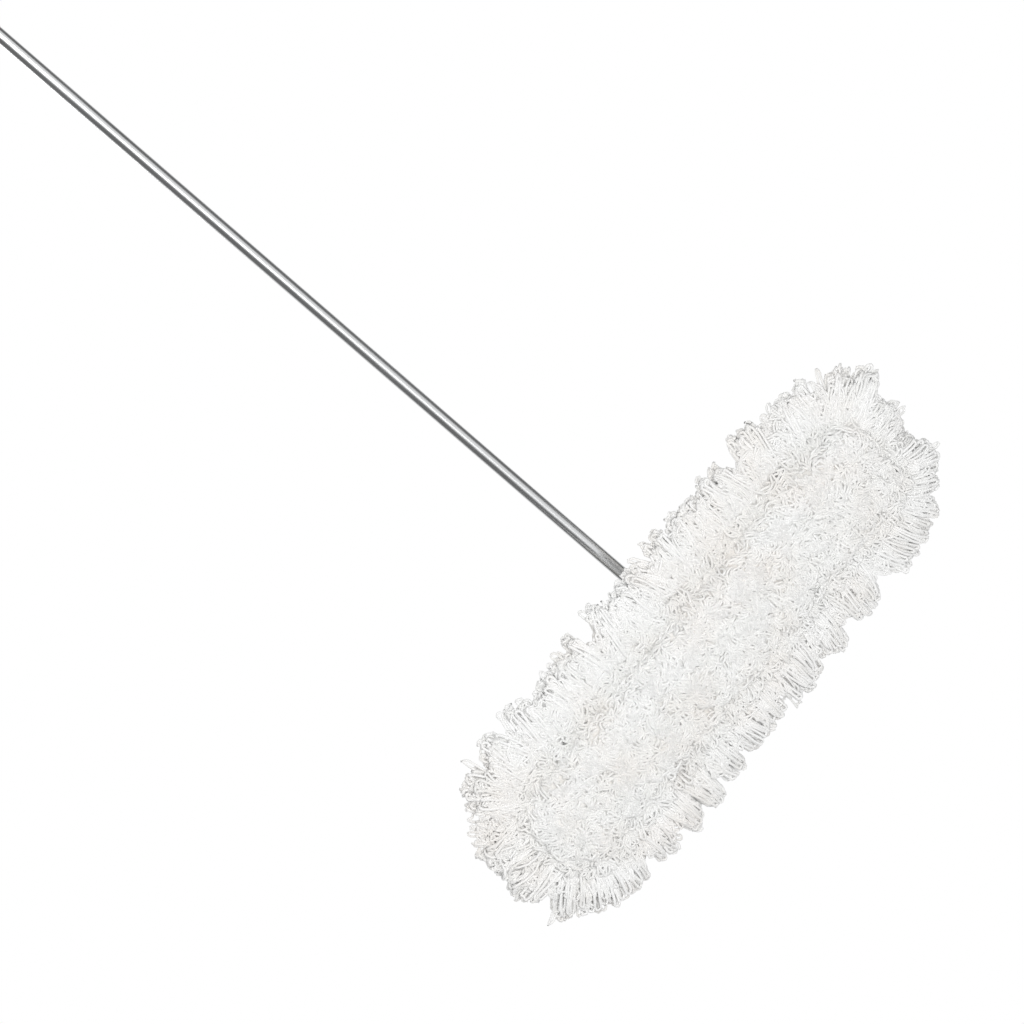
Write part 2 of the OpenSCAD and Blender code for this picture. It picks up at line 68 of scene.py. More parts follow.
# The tape's stitches: how many there are, and how far inside the edge they run
tape_stitch_count, tape_seam = 310, 0.0048
upward = np.array([0, 0, 1.0])


# Shapes

def outline(t, grow):
    """Points and outward directions round the cloth, t being the share of the way round from the right
    end's middle. The edge is a rounded rectangle, grown outwards: a corner's centre plus its radius in the
    direction of the normal. Along a corner the normal turns evenly, and along a side the centre moves
    evenly."""
    r = corner_r + grow
    along_x, along_y = 2 * (half_l - corner_r), 2 * (half_w - corner_r)
    arc = math.pi / 2 * r
    knots = np.cumsum([0, arc, along_x, arc, along_y, arc, along_x, arc, along_y])
    at = (t * knots[-1] - along_y / 2) % knots[-1]
    turn = np.interp(at, knots, np.radians([0, 90, 90, 180, 180, 270, 270, 360, 360]))
    cx = np.interp(at, knots, along_x / 2 * np.array([1, 1, -1, -1, -1, -1, 1, 1, 1]))
    cy = np.interp(at, knots, along_y / 2 * np.array([1, 1, 1, 1, -1, -1, -1, -1, 1]))
    normal = np.stack([np.cos(turn), np.sin(turn)], -1)
    return np.stack([cx, cy], -1) + r * normal, normal


def inset(x, y, grow=0.0):
    """Distance of points inside the cloth's edge, grown outwards: minus the signed distance to a rounded
    rectangle."""
    qx, qy = np.abs(x) - half_l + corner_r, np.abs(y) - half_w + corner_r
    outside = np.hypot(np.maximum(qx, 0), np.maximum(qy, 0))
    return corner_r + grow - outside - np.minimum(np.maximum(qx, qy), 0)


def ripple(x, y, wavelength, seed, count=9):
    """A smooth random field of height about 1: the sum of plane waves of about one length in random
    directions."""
    dice = np.random.default_rng(seed)
    turn, phase = dice.uniform(0, 2 * np.pi, (2, count))
    wave = 2 * np.pi / (wavelength * dice.uniform(0.75, 1.4, count))
    across = x[..., None] * np.cos(turn) + y[..., None] * np.sin(turn)
    return np.sin(wave * across + phase).sum(-1) * math.sqrt(2 / count)


def unit(v):
    """Vectors of length 1: each over its own length."""
    return v / np.maximum(np.linalg.norm(v, axis=-1, keepdims=True), 1e-12)


def ease(x):
    """Smooth step from 0 to 1: three times the square less twice the cube."""
    x = np.clip(x, 0, 1)
    return x * x * (3 - 2 * x)


def bell(x, middle, spread):
    """A smooth hump of height 1: the exponential of minus the square of the distance from its middle over
    its spread."""
    return np.exp(-((x - middle) / spread) ** 2)


def parabola(a, start, control, end):
    """Heights along a parabola from start to end at the shares a: the sum of start times the square of the
    rest, control times twice the share and the rest, and end times the square of the share."""
    return start * (1 - a) ** 2 + 2 * control * a * (1 - a) + end * a ** 2


def slopes(height, x, y):
    """Slopes of a surface along x and along y: the difference of its heights either side over their
    distance."""
    step = 1e-4
    along_x = (height(x + step, y) - height(x - step, y)) / (2 * step)
    along_y = (height(x, y + step) - height(x, y - step)) / (2 * step)
    return along_x, along_y


def raised(flat, z):
    """Points or directions in plan, each with a height added."""
    return np.concatenate([flat, np.broadcast_to(z, len(flat))[:, None]], -1)


def edgewise(normal):
    """Level directions along the edge: the outward ones turned by a quarter."""
    return np.stack([-normal[:, 1], normal[:, 0], np.zeros(len(normal))], -1)


def heading(turn):
    """Level directions at the angles given: their cosine along x and their sine along y."""
    return np.stack([np.cos(turn), np.sin(turn), 0 * turn], -1)


def spaced(dice, n, jitter, shift=0.0):
    """Shares of the way for n strands: evenly spaced, with each moved at random by up to jitter spaces."""
    return (np.arange(n) + shift + dice.uniform(-jitter, jitter, n)) / n


def make_piece(name, grid, body, finish, wrap=(False, True), tone=None, capped=False, weld=False,
               crease=0):
    """A mesh over copies of a grid of points, shaped (copies, rows, columns, 3). Each quad joins four
    neighbours, the last row or column joins the first where wrap says so, and capped closes each copy's
    first and last row with a face. The UV map counts turns round the columns and metres along the rows'
    middles, and tone is one value per copy. weld joins the points that meet at a seam or pole and turns the
    faces outwards, and edges sharper than crease degrees stay sharp."""
    copies, rows, columns, _ = grid.shape
    i, j = np.meshgrid(np.arange(rows - (not wrap[0])), np.arange(columns - (not wrap[1])), indexing="ij")
    corners = np.array([[0, 0], [0, 1], [1, 1], [1, 0]])
    steps = np.stack([i, j], -1).reshape(-1, 1, 2) + corners
    first = np.arange(copies)[:, None] * rows * columns
    quads = ((steps[..., 0] % rows) * columns + steps[..., 1] % columns).reshape(1, -1, 4) + first[..., None]
    faces = quads.reshape(-1, 4).tolist()
    middle = grid.mean(2)
    lengths = np.linalg.norm(np.diff(middle, axis=1, append=middle[:, :1]), axis=-1)
    along = np.concatenate([np.zeros((copies, 1)), np.cumsum(lengths, 1)], 1)[:, steps[..., 0]]
    uv = np.stack([np.broadcast_to(steps[..., 1] / columns, along.shape), along], -1).reshape(-1, 2)
    if capped:
        ring = np.arange(columns)
        ends = np.stack([ring[::-1], ring + (rows - 1) * columns])
        faces += (ends[None] + first[..., None]).reshape(-1, columns).tolist()
        uv = np.concatenate([uv, np.zeros((2 * copies * columns, 2))])
    touching = 1e-7
    mesh = bpy.data.meshes.new(name)
    mesh.from_pydata(grid.reshape(-1, 3).tolist(), [], faces)
    mesh.uv_layers.new(name="UVMap").uv.foreach_set("vector", uv.astype(np.float32).ravel())
    if tone is not None:
        spread = np.repeat(tone, rows * columns).astype(np.float32)
        mesh.attributes.new("tone", "FLOAT", "POINT").data.foreach_set("value", spread)
    if weld:
        shell = bmesh.new()
        shell.from_mesh(mesh)
        bmesh.ops.remove_doubles(shell, verts=shell.verts, dist=touching)
        bmesh.ops.dissolve_degenerate(shell, edges=shell.edges, dist=touching)
        bmesh.ops.recalc_face_normals(shell, faces=shell.faces)
        shell.to_mesh(mesh)
        shell.free()
    mesh.polygons.foreach_set("use_smooth", np.ones(len(mesh.polygons), bool))
    if crease:
        mesh.set_sharp_from_angle(angle=math.radians(crease))
    mesh.materials.append(finish)
    return place(bpy.data.objects.new(name, mesh), body)


def place(piece, body):
    """Links a piece to the scene, and says which body it moves with."""
    bpy.context.scene.collection.objects.link(piece)
    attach(piece, body)
    return piece


def strand(line, radius, up, sides, closed=False):
    """Round sections carried along many lines at once: a ring of points round each point of a line, set
    square to the line's direction by an upward hint. line is (copies, steps, 3), and radius fits (copies,
    steps)."""
    if closed:
        run = np.roll(line, -1, 1) - np.roll(line, 1, 1)
    else:
        run = np.gradient(line, axis=1)
    run = unit(run)
    side = unit(np.cross(run, np.broadcast_to(up, run.shape)))
    lift = np.cross(run, side)
    turn = np.linspace(0, 2 * np.pi, sides, endpoint=False)[:, None]
    ring = np.cos(turn) * side[:, :, None] + np.sin(turn) * lift[:, :, None]
    return line[:, :, None] + np.broadcast_to(radius, line.shape[:2])[..., None, None] * ring


def hairpin(root, along, across, length, width, bend, steps):
    """Plan of many loops of yarn at once: each runs out from its root, round an open eye at its end and
    back beside itself. With v from -1 to 1, the eye is where |v| is under its share: an arc of 220 degrees
    whose radius is half the width. The two stems run straight from the arc's ends to the root, and are
    pinched together on the way. bend times the square of the share that the strand is out pushes it aside.
    The points crowd towards the eye."""
    eye_share, stop, pinch, crowding = 0.3, math.radians(110), 0.45, 1.4
    s = np.linspace(-1, 1, steps)[None]
    v = np.sign(s) * np.abs(s) ** crowding
    eye = width[:, None] / 2
    turn = np.clip(v / eye_share, -1, 1) * stop
    stem = np.clip((np.abs(v) - eye_share) / (1 - eye_share), 0, 1)
    out = (length[:, None] - eye + eye * np.cos(turn)) * (1 - stem)
    share = out / length[:, None]
    aside = eye * np.sin(turn) * (1 - pinch * stem) + bend[:, None] * share ** 2
    line = root[:, None] + out[..., None] * along[:, None] + aside[..., None] * across[:, None]
    return line, share


def wander(line, amount, waves, seed):
    """Moves each strand off its line by a slow sine of its own in every direction: about so many waves along
    it, with a random phase."""
    dice = np.random.default_rng(seed)
    copies, steps = line.shape[:2]
    at = np.linspace(0, 1, steps)[None, :, None]
    turns = dice.uniform(0.6, 1.4, (copies, 1, 3)) * waves
    phase = dice.uniform(0, 2 * np.pi, (copies, 1, 3))
    return line + amount * np.sin(2 * np.pi * turns * at + phase)


def lying_loops(dice, root, along, out, length, width, bend, arch, dive, drift, seed, shrink=1.0):
    """Loops that lie over a bed: hairpins centred on their roots, in the plane square to out. length, width
    and arch are ranges to draw from, shrink shortens the loops, and bend is the spread of their sideways
    push. Each rises by its arch times a sine of the share that it is out, dives at its root by the fourth
    power of the rest, and wanders by drift."""
    n = len(root)
    long = dice.uniform(*length, n) * shrink
    wide = dice.uniform(*width, n)
    start = root - along * long[:, None] / 2
    line, share = hairpin(start, along, np.cross(out, along), long, wide, dice.normal(0, bend, n), steps=11)
    high = dice.uniform(*arch, n)[:, None]
    rise = high * np.sin(np.pi * share ** 0.8) - dive * (1 - share) ** 4
    return wander(line + rise[..., None] * out[:, None], drift, waves=1.3, seed=seed)


def lean(points):
    """Pushes the pile towards the far side in proportion to its depth under the cloth."""
    shift = pile_lean * (1 - points[..., 2] / cloth_z)
    return points + np.stack([0 * shift, shift, 0 * shift], -1)


def pile_skin(x, y):
    """Height of the pile's face: a flat pillow whose rim curls up as a quarter circle, with soft lumps and
    a ridge along the handle's side."""
    rim_width, rim_height, lowest = 0.020, 0.022, 0.001
    edge = inset(x / end_spill, y, -0.001) + 0.0022 * ripple(x, y, 0.045, 5)
    rim = np.clip(1 - edge / rim_width, 0, 1)
    curl = 1 - np.sqrt(np.maximum(1 - rim ** 2, 0))
    lumps = 0.0060 + 0.0028 * ripple(x, y, 0.055, 3) + 0.0018 * ripple(x, y, 0.026, 4)
    ridge = 0.0035 * bell(y, ridge_y, 0.013)
    return rim_height * curl + np.maximum(lumps - ridge, lowest)


def spine_loft(rows, steps):
    """Rings drawn in from the cloth's outline to its middle line. Each row gives the share of the way out
    from the middle line, the inset of its outline, and a height or a function of x and y that gives one."""
    t = np.arange(steps) / steps
    rings = []
    for share, depth, height in rows:
        edge, _ = outline(t, -depth)
        middle = np.stack([np.clip(edge[:, 0], half_w - half_l, half_l - half_w), 0 * edge[:, 1]], -1)
        x, y = (middle + share * (edge - middle)).T
        z = height(x, y) if callable(height) else np.full(steps, height)
        rings.append(np.stack([x, y, z], -1))
    return np.array(rings)[None]


# Finishes

def linear(code):
    """An sRGB hex colour as linear red, green, blue and alpha, by the sRGB curve: a straight line at the dark
    end, and a power above it."""
    parts = [int(code[k:k + 2], 16) / 255 for k in (1, 3, 5)]
    return tuple(c / 12.92 if c <= 0.04045 else ((c + 0.055) / 1.055) ** 2.4 for c in parts) + (1.0,)


def connect(tree, made, inputs):
    """Sets a shader node's sockets by name or number, each to a value or to another's output."""
    for key, value in inputs.items():
        if isinstance(value, bpy.types.NodeSocket):
            tree.links.new(value, made.inputs[key])
        else:
            made.inputs[key].default_value = value


def add(tree, kind, inputs=None, **settings):
    """Adds one shader node, with its own settings and its sockets."""
    made = tree.nodes.new("ShaderNode" + kind)
    for key, value in settings.items():
        setattr(made, key, value)
    connect(tree, made, inputs or {})
    return made


def noise(tree, spot, grain, detail, rough=0.5):
    """Cloudy noise with lumps of about the grain's size."""
    inputs = {"Vector": spot, "Scale": 1 / grain, "Detail": detail, "Roughness": rough}
    return add(tree, "TexNoise", inputs).outputs["Fac"]


def remap(tree, value, low, high, start=0.0, end=1.0, **settings):
    """A value carried from the range low to high over to the range start to end, and held at its ends."""
    inputs = {"Value": value, "From Min": low, "From Max": high, "To Min": start, "To Max": end}
    return add(tree, "MapRange", inputs, **settings).outputs[0]


def blend(tree, share, first, second, way="MIX"):
    """Two colours mixed by a share, or multiplied."""
    inputs = {0: share, 6: first, 7: second}
    return add(tree, "Mix", inputs, data_type="RGBA", blend_type=way).outputs[2]


def balance(tree, share, first, second):
    """Two values mixed by a share."""
    return add(tree, "Mix", {0: share, 2: first, 3: second}).outputs[0]


def relief(tree, height, strength, distance):
    """Bump in a surface's shading."""
    return add(tree, "Bump", {"Height": height, "Strength": strength, "Distance": distance}).outputs[0]


def new_finish(name):
    """A material with its shader and its texture coordinates."""
    finish = bpy.data.materials.new(name)
    finish.use_nodes = True
    tree = finish.node_tree
    tree.nodes.clear()
    shader = add(tree, "BsdfPrincipled")
    add(tree, "OutputMaterial", {"Surface": shader.outputs[0]})
    return finish, tree, shader, add(tree, "TexCoord").outputs


def spun_cotton(name, light, shade, warm, lay, turns, tangle, depth):
    """Undyed spun cotton yarn: soft and matt, a few soft plies twisted together with painted shade in the
    grooves between them, each strand a little greyer or warmer than the next, with a bloom of fine hairs at
    its edges. lay names the coordinates that the plies follow, turns is how many cross each unit of them, and
    tangle bends them. Some light passes through the loose fibres, as far as depth."""
    finish, tree, shader, spot = new_finish(name)
    tone = add(tree, "Attribute", attribute_name="tone").outputs["Fac"]
    patch = remap(tree, noise(tree, spot["Object"], 0.075, 2.0), 0.42, 0.68)
    strand_tint = blend(tree, tone, linear(light), linear(shade))
    tint = blend(tree, patch, strand_tint, linear(warm), "MULTIPLY")
    turned = add(tree, "Mapping", {"Vector": spot[lay], "Scale": turns}).outputs[0]
    twist = {"Vector": turned, "Scale": math.tau / 10, "Distortion": tangle, "Detail": 2.0,
             "Detail Scale": 3.0}
    plies = add(tree, "TexWave", twist, bands_direction="DIAGONAL").outputs["Fac"]
    # painted shade: the base colour is darkened where the plies dip, in the grooves between them
    groove = remap(tree, plies, 0.0, 0.4, 0.94)
    fuzz = noise(tree, spot["Object"], 0.0011, 3.0)
    connect(tree, shader, {
        "Base Color": blend(tree, 1.0, tint, groove, "MULTIPLY"),
        "Normal": relief(tree, balance(tree, 0.35, plies, fuzz), 0.5, 0.0008),
        "Roughness": 0.92, "Specular IOR Level": 0.25, "Sheen Weight": 1.0, "Sheen Roughness": 0.6,
        "Subsurface Weight": 0.4, "Subsurface Radius": (1.0, 1.0, 1.0), "Subsurface Scale": depth})
    return finish


def woven(name, light, shade, pitch, rough):
    """Plain woven cotton: warp and weft threads that pass over and under each other, with slubs and a faint
    yellowing in patches. The threads of such cloth are 0.8 mm apart; they are drawn wider so that they show
    in the render."""
    finish, tree, shader, spots = new_finish(name)
    spot = spots["Object"]
    threads = {"Vector": spot, "Scale": math.tau / 20 / pitch, "Distortion": 0.5, "Detail": 1.0}
    warp = add(tree, "TexWave", threads, bands_direction="X").outputs["Fac"]
    weft = add(tree, "TexWave", threads, bands_direction="Y").outputs["Fac"]
    over = add(tree, "TexChecker", {"Vector": spot, "Scale": 1 / pitch}).outputs["Fac"]
    weave = balance(tree, over, warp, weft)
    slub = noise(tree, spot, 0.006, 4.0)
    age = remap(tree, noise(tree, spot, 0.09, 3.0), 0.4, 0.7)
    tint = blend(tree, age, linear(light), linear(shade))
    shadow = remap(tree, weave, 0.0, 0.7, 0.86)
    connect(tree, shader, {
        "Base Color": blend(tree, 1.0, tint, shadow, "MULTIPLY"),
        "Normal": relief(tree, balance(tree, 0.3, weave, slub), 0.6, pitch * 0.35),
        "Roughness": rough, "Specular IOR Level": 0.25, "Sheen Weight": 0.15})
    return finish


def plated(name, light, shade, blotch, rough):
    """Zinc-plated steel: cool grey metal with soft cloudy blotches of duller plating and fine draw
    marks."""
    finish, tree, shader, spots = new_finish(name)
    cloud = noise(tree, spots["Object"], blotch, 5.0)
    grit = noise(tree, spots["Object"], 0.0006, 2.0)
    connect(tree, shader, {
        "Base Color": blend(tree, cloud, linear(light), linear(shade)),
        "Roughness": remap(tree, cloud, 0.3, 0.75, rough * 0.75, rough * 1.35),
        "Normal": relief(tree, grit, 0.12, 0.0003),
        "Metallic": 1.0})
    return finish


def polished_tube(name):
    """Polished stainless tube: bright, with hair-fine lines along its length from the polishing belt and a
    few duller stretches where it is held. The lines are drawn 0.5 mm wide so that they show."""
    finish, tree, shader, spots = new_finish(name)
    line_width, line_length = 0.0005, 0.18
    stretch = (1 / line_width, 1 / line_length, 1 / line_width)
    drawn = add(tree, "Mapping", {"Vector": spots["Object"], "Scale": stretch}).outputs[0]
    lines = noise(tree, drawn, 1.0, 2.0)
    hold = noise(tree, spots["Object"], 0.16, 3.0)
    connect(tree, shader, {
        "Base Color": blend(tree, lines, linear("#dedfe0"), linear("#cfd0d1")),
        "Roughness": remap(tree, hold, 0.35, 0.7, 0.20, 0.30),
        "Normal": relief(tree, lines, 0.06, 0.0003),
        "Metallic": 1.0})
    return finish


def moulded(name, light, shade, grain, rough):
    """Moulded nylon: an even colour with the mould's fine sparked grain and paler scuffs from use. The
    grain of such a mould is 0.2 mm; it is drawn coarser so that it shows."""
    finish, tree, shader, spots = new_finish(name)
    pits = add(tree, "TexVoronoi", {"Vector": spots["Object"], "Scale": 1 / grain}).outputs["Distance"]
    scuff = noise(tree, spots["Object"], 0.012, 6.0, 0.7)
    worn = remap(tree, scuff, 0.52, 0.72)
    connect(tree, shader, {
        "Base Color": blend(tree, worn, linear(light), linear(shade)),
        "Roughness": remap(tree, scuff, 0.35, 0.7, rough * 0.85, rough * 1.2),
        "Normal": relief(tree, pits, 0.18, grain * 0.3)})
    return finish


yarn = spun_cotton("spun_cotton_yarn", "#fcfcfb", "#f2f2f0", "#fdfaf8", "UV", (3, 1 / 0.0036, 1), 0.6, 0.0008)
yarn_deep = spun_cotton(
    "spun_cotton_roots", "#f8f8f6", "#f3f2f0", "#fcf8f5", "Object", (1 / 0.004,) * 3, 6.0, 0.0008)
thread = spun_cotton("sewing_thread", "#f6f4ee", "#ebe7dd", "#fdf9f2", "UV", (3, 1 / 0.0012, 1), 0.3, 0.0002)
canvas = woven("natural_cotton_canvas", "#e9e5db", "#e0d9ca", 0.0022, 0.9)
tape = woven("cotton_binding_tape", "#f0eee8", "#e8e4da", 0.0015, 0.85)
zinc_rod = plated("zinc_plated_rod", "#c6cace", "#a9aeb3", 0.020, 0.30)
zinc_steel = plated("zinc_plated_steel", "#c2c5c8", "#a3a7ab", 0.009, 0.36)
spring_steel = plated("oiled_spring_steel", "#8d9094", "#6e7276", 0.006, 0.30)
bright_tube = polished_tube("polished_stainless_tube")
black_nylon = moulded("black_moulded_nylon", "#1d1e20", "#34363a", 0.0006, 0.45)
white_nylon = moulded("white_nylon_washer", "#e9e7e1", "#dcd8cf", 0.0006, 0.42)


# The pile's face: a lumpy body of roots, and loops of yarn that lie over it in slow swirls

def yarn_piece(name, line, thick, up, tone):
    """A piece of many strands of yarn along their lines, thick being their radius over the yarn's own."""
    grid = strand(line, yarn_r * thick, up, yarn_sides)
    return make_piece(name, grid, "head", yarn, tone=tone, capped=True)


def pressed(spot):
    """How much the head has been pressed out of its combing: a bell over the left end, near its handle
    side."""
    return bell(spot[:, 0], -0.345, 0.045) * bell(spot[:, 1], -0.025, 0.05)


def loops_on_skin(x, y, seed):
    """Loops whose roots lie in the pile's face at x, y, in the face's own plane. Their direction follows a
    slow random swirl with a wide scatter."""
    dice = np.random.default_rng(seed)
    steepest = 1.2
    slope_x, slope_y = np.clip(slopes(pile_skin, x, y), -steepest, steepest)
    out = unit(np.stack([slope_x, slope_y, -np.ones(len(x))], -1))
    along = heading(2.6 * ripple(x, y, 0.16, 7) + dice.normal(0, 0.8, len(x)))
    along = unit(along - (along * out).sum(-1, keepdims=True) * out)
    root = np.stack([x, y, pile_skin(x, y)], -1)
    line = lying_loops(dice, root, along, out, length=(0.010, 0.020), width=(0.0038, 0.0066), bend=0.005,
                       arch=(0.0010, 0.0040), dive=0.005, drift=0.0009, seed=seed + 1)
    line[..., 2] = np.maximum(line[..., 2], yarn_r + floor_gap)
    return line, out


def pile_face(name, side, seed):
    """Half of the face's loops: roots spread over a grid of shifted rows with each point jittered, inside the
    rim. The loops on the ridge along the handle's side are given a paler tone than the rest, as painted light."""
    dice = np.random.default_rng(seed)
    pitch, row_share, jitter, end_x, rim = 0.0060, 0.87, 0.003, 0.325, 0.003
    gx, gy = np.meshgrid(np.arange(-end_x, end_x, pitch), np.arange(-half_w, half_w, pitch * row_share))
    gx[1::2] += pitch / 2
    spots = np.stack([gx, gy], -1) + dice.uniform(-jitter, jitter, gx.shape + (2,))
    x, y = spots.reshape(-1, 2).T
    kept = (inset(x / end_spill, y) > rim) & (x * side > 0)
    x, y = x[kept], y[kept]
    line, out = loops_on_skin(x, y, seed + 1)
    thick = dice.uniform(0.85, 1.1, (len(x), 1))
    # painted light: the tone is lowered on the ridge along the handle's side, so its loops render paler
    tone = (0.3 + 0.7 * dice.uniform(0, 1, len(x))) * (1 - 0.9 * bell(y, ridge_y, 0.015))
    return yarn_piece(name, lean(line), thick, out[:, None], tone)


def pile_flank():
    """Loops on the pile's side wall: hairpins in the upright plane along the edge, at random turns, arching
    outwards. The wall is undercut towards the cloth by a smooth step."""
    dice = np.random.default_rng(31)
    n, highest = 620, 0.0405
    edge, normal = outline(spaced(dice, n, 0.4), -0.0035)
    edge = edge * np.array([end_spill, 1])
    z = dice.uniform(0.010, 0.037, n)
    undercut = 0.007 * ease((z - 0.022) / 0.018)
    out = raised(normal, 0)
    turn = dice.uniform(0, 2 * np.pi, n)[:, None]
    along = np.cos(turn) * edgewise(normal) + np.sin(turn) * upward
    root = raised(edge - normal * undercut[:, None], z)
    line = lying_loops(dice, root, along, out, length=(0.011, 0.020), width=(0.0046, 0.0080), bend=0.004,
                       arch=(0.0005, 0.003), dive=0.006, drift=0.001, seed=32)
    line[..., 2] = np.clip(line[..., 2], yarn_r + floor_gap, highest)
    thick = dice.uniform(0.85, 1.1, (n, 1))
    tone = 0.35 + 0.65 * dice.uniform(0, 1, n)
    return yarn_piece("pile_flank_loops", lean(line), thick, out[:, None], tone)


def valley_loops():
    """Short loops in the groove between the pile and the fringe: hairpins that lie flat in it, at random turns
    on the handle's side and mostly outwards on the far side, where they fill it, as they do where the head has
    been pressed. The open groove on the handle's side is given a greyer tone, as painted shade."""
    dice = np.random.default_rng(36)
    n = 1500
    edge, normal = outline(spaced(dice, n, 0.4), 0.0)
    off = dice.uniform(-0.009, 0.014, n)
    spot = edge * np.array([1.02, 1]) + normal * off[:, None]
    far = ease(spot[:, 1] / 0.04)
    bed = 0.0245 - 0.004 * ease(np.abs(off - 0.001) / 0.014)
    fill = 0.0058 * far + 0.0022 * np.maximum(ripple(spot[:, 0], spot[:, 1], 0.12, 38), 0)
    z = bed - fill - 0.007 * pressed(spot) + dice.normal(0, 0.0012, n)
    along = heading(np.arctan2(normal[:, 1], normal[:, 0]) + dice.normal(0, 1, n) * (2.5 - 1.8 * far))
    out = np.broadcast_to(-upward, along.shape)
    line = lying_loops(dice, raised(spot, z), along, out, length=(0.010, 0.019), width=(0.0046, 0.0076),
                       bend=0.004, arch=(0.0005, 0.0035), dive=0.006, drift=0.001, seed=37)
    thick = dice.uniform(0.85, 1.05, (n, 1))
    # painted shade: the open groove on the handle's side gets a greyer tone
    groove_painted_shade = 0.7 * (1 - far) * bell(off, 0.002, 0.008)
    tone = np.minimum(0.3 + 0.7 * dice.uniform(0, 1, n) + groove_painted_shade, 1)
    return yarn_piece("valley_loops", lean(line), thick, out[:, None], tone)


def pile_core():
    """The dense roots under the loops: the pile's skin, drawn in a little and closed on top against the
    cloth."""
    def under(x, y):
        """Height of the skin at the spread place, raised a little."""
        return pile_skin(x * end_spill, y) + 0.0012

    top, drawn_in = 0.0435, 0.0035
    rows = [(0, 0.012, top), (0.5, 0.012, top), (1, 0.012, top), (1, 0.010, 0.036), (1, 0.0045, 0.029)]
    rows += [(1, drawn_in, 0.025), (1, drawn_in, under)]
    rows += [(share, drawn_in, under) for share in np.linspace(0.97, 0, 26)]
    grid = lean(spine_loft(rows, 460) * np.array([end_spill, 1, 1]))
    return make_piece("pile_core", grid, "head", yarn_deep, weld=True, tone=np.array([0.5]))


# The fringe: tufts of longer loops, sewn under the cloth's edge and combed outwards

def tuft(t):
    """Which clump a place on the edge belongs to, and how far it is from that clump's middle, from -1 to 1.
    The clumps' edges are shifted by two slow waves, so that no two are as wide."""
    phase = t * clumps + 0.9 * np.sin(2 * np.pi * 5 * t + 1) + 0.6 * np.sin(2 * np.pi * 13 * t)
    return np.floor(phase).astype(int) % clumps, 2 * (phase % 1.0) - 1


def fringe_size(t):
    """Share of the full reach at a place on the edge: each clump has its own, the far side is combed fuller
    except at its right corner, the near side is full on the left and short at the right corner, the left
    end's middle reaches further than the right's, its handle side is short, and the right end has a notch
    between two fuller tufts."""
    clump, off = tuft(t)
    own = np.random.default_rng(41).uniform(-0.085, 0.075, clumps)[clump]
    x, y = outline(t, fringe_reach)[0].T
    far = ease(y / 0.06) * (0.11 - 0.10 * ease((x - 0.20) / 0.08) - 0.05 * ease((-x - 0.22) / 0.1))
    near = ease((-y - 0.03) / 0.06) * (0.07 * ease((-x - 0.22) / 0.06) - 0.23 * bell(x, 0.31, 0.05))
    ends = (0.25 * ease((x - 0.28) / 0.08) - 0.12 * ease((-x - 0.28) / 0.08)) * (1 - ease(np.abs(y) / 0.10))
    tufts = 0.19 * bell(y, -0.05, 0.035) + 0.10 * bell(y, 0.077, 0.015)
    notch = 0.26 * bell(y, 0.040, 0.018)
    right = (tufts - notch) * (x > 0.3)
    left = -0.17 * bell(y, -0.07, 0.05) * (x < -0.3)
    return 1.015 + own - 0.15 * off ** 4 - ends + far + near + right + left


def fringe_loops(name, layer, n, seed):
    """One layer of loops: hairpins that run out square to the edge, combed to one side and drawn together
    with the rest of their clump, with heights along a parabola from the root under the cloth, down over the
    ridge and up again to the tip, where the yarn is plumper."""
    dice = np.random.default_rng(seed)
    t = spaced(dice, n, 0.45, 0.37 * layer)
    base, normal = outline(t, mid_reach)
    clump, off = tuft(t)
    root = raised(base - normal * (mid_reach + sewn_in), 0)
    across = edgewise(normal)
    far_side = base[:, 1] > 0
    curly = pressed(base)
    loose = np.where(far_side, 0.7, 1.15) + 2.0 * curly
    uneven = dice.uniform(0.89 - 0.12 * curly, 1.005, n) + 0.065 * dice.uniform(0, 1, n) ** 4
    reach = (fringe_reach + 0.004) * fringe_size(t) * (1 - 0.025 * layer) * uneven
    combed = np.random.default_rng(43).normal(0, 0.008, clumps)[clump]
    pull = combed - 0.0080 * off + dice.normal(0, 0.0028, n) * loose
    width = dice.uniform(0.0050, 0.0070, n)
    line, share = hairpin(root, raised(normal, 0), across, reach, width, pull, steps=17)
    low, middle, tip = layer_heights[layer]
    low = low + dice.normal(0, 0.0006, (n, 1))
    middle = middle + dice.normal(0, 0.003, (n, 1))
    tip = tip + dice.normal(0, 0.0035, (n, 1))
    line[..., 2] = parabola(share, low, middle, tip)
    roll = dice.normal(0, 0.5, (n, 1))
    side = ((line - root[:, None]) * across[:, None]).sum(-1) - pull[:, None] * share ** 2
    line[..., 2] += side * np.sin(roll)
    drift = np.stack([loose, loose, loose * 0.7], -1)[:, None] * 0.0015
    line = wander(line, drift, waves=2.6, seed=seed + 1)
    plump = np.where(far_side, 0.08, 0.18)[:, None]
    thick = dice.uniform(0.88, 1.08, (n, 1)) * (1 + plump * share ** 4)
    return yarn_piece(name, line, thick, upward, dice.uniform(0, 1, n) ** 1.4)


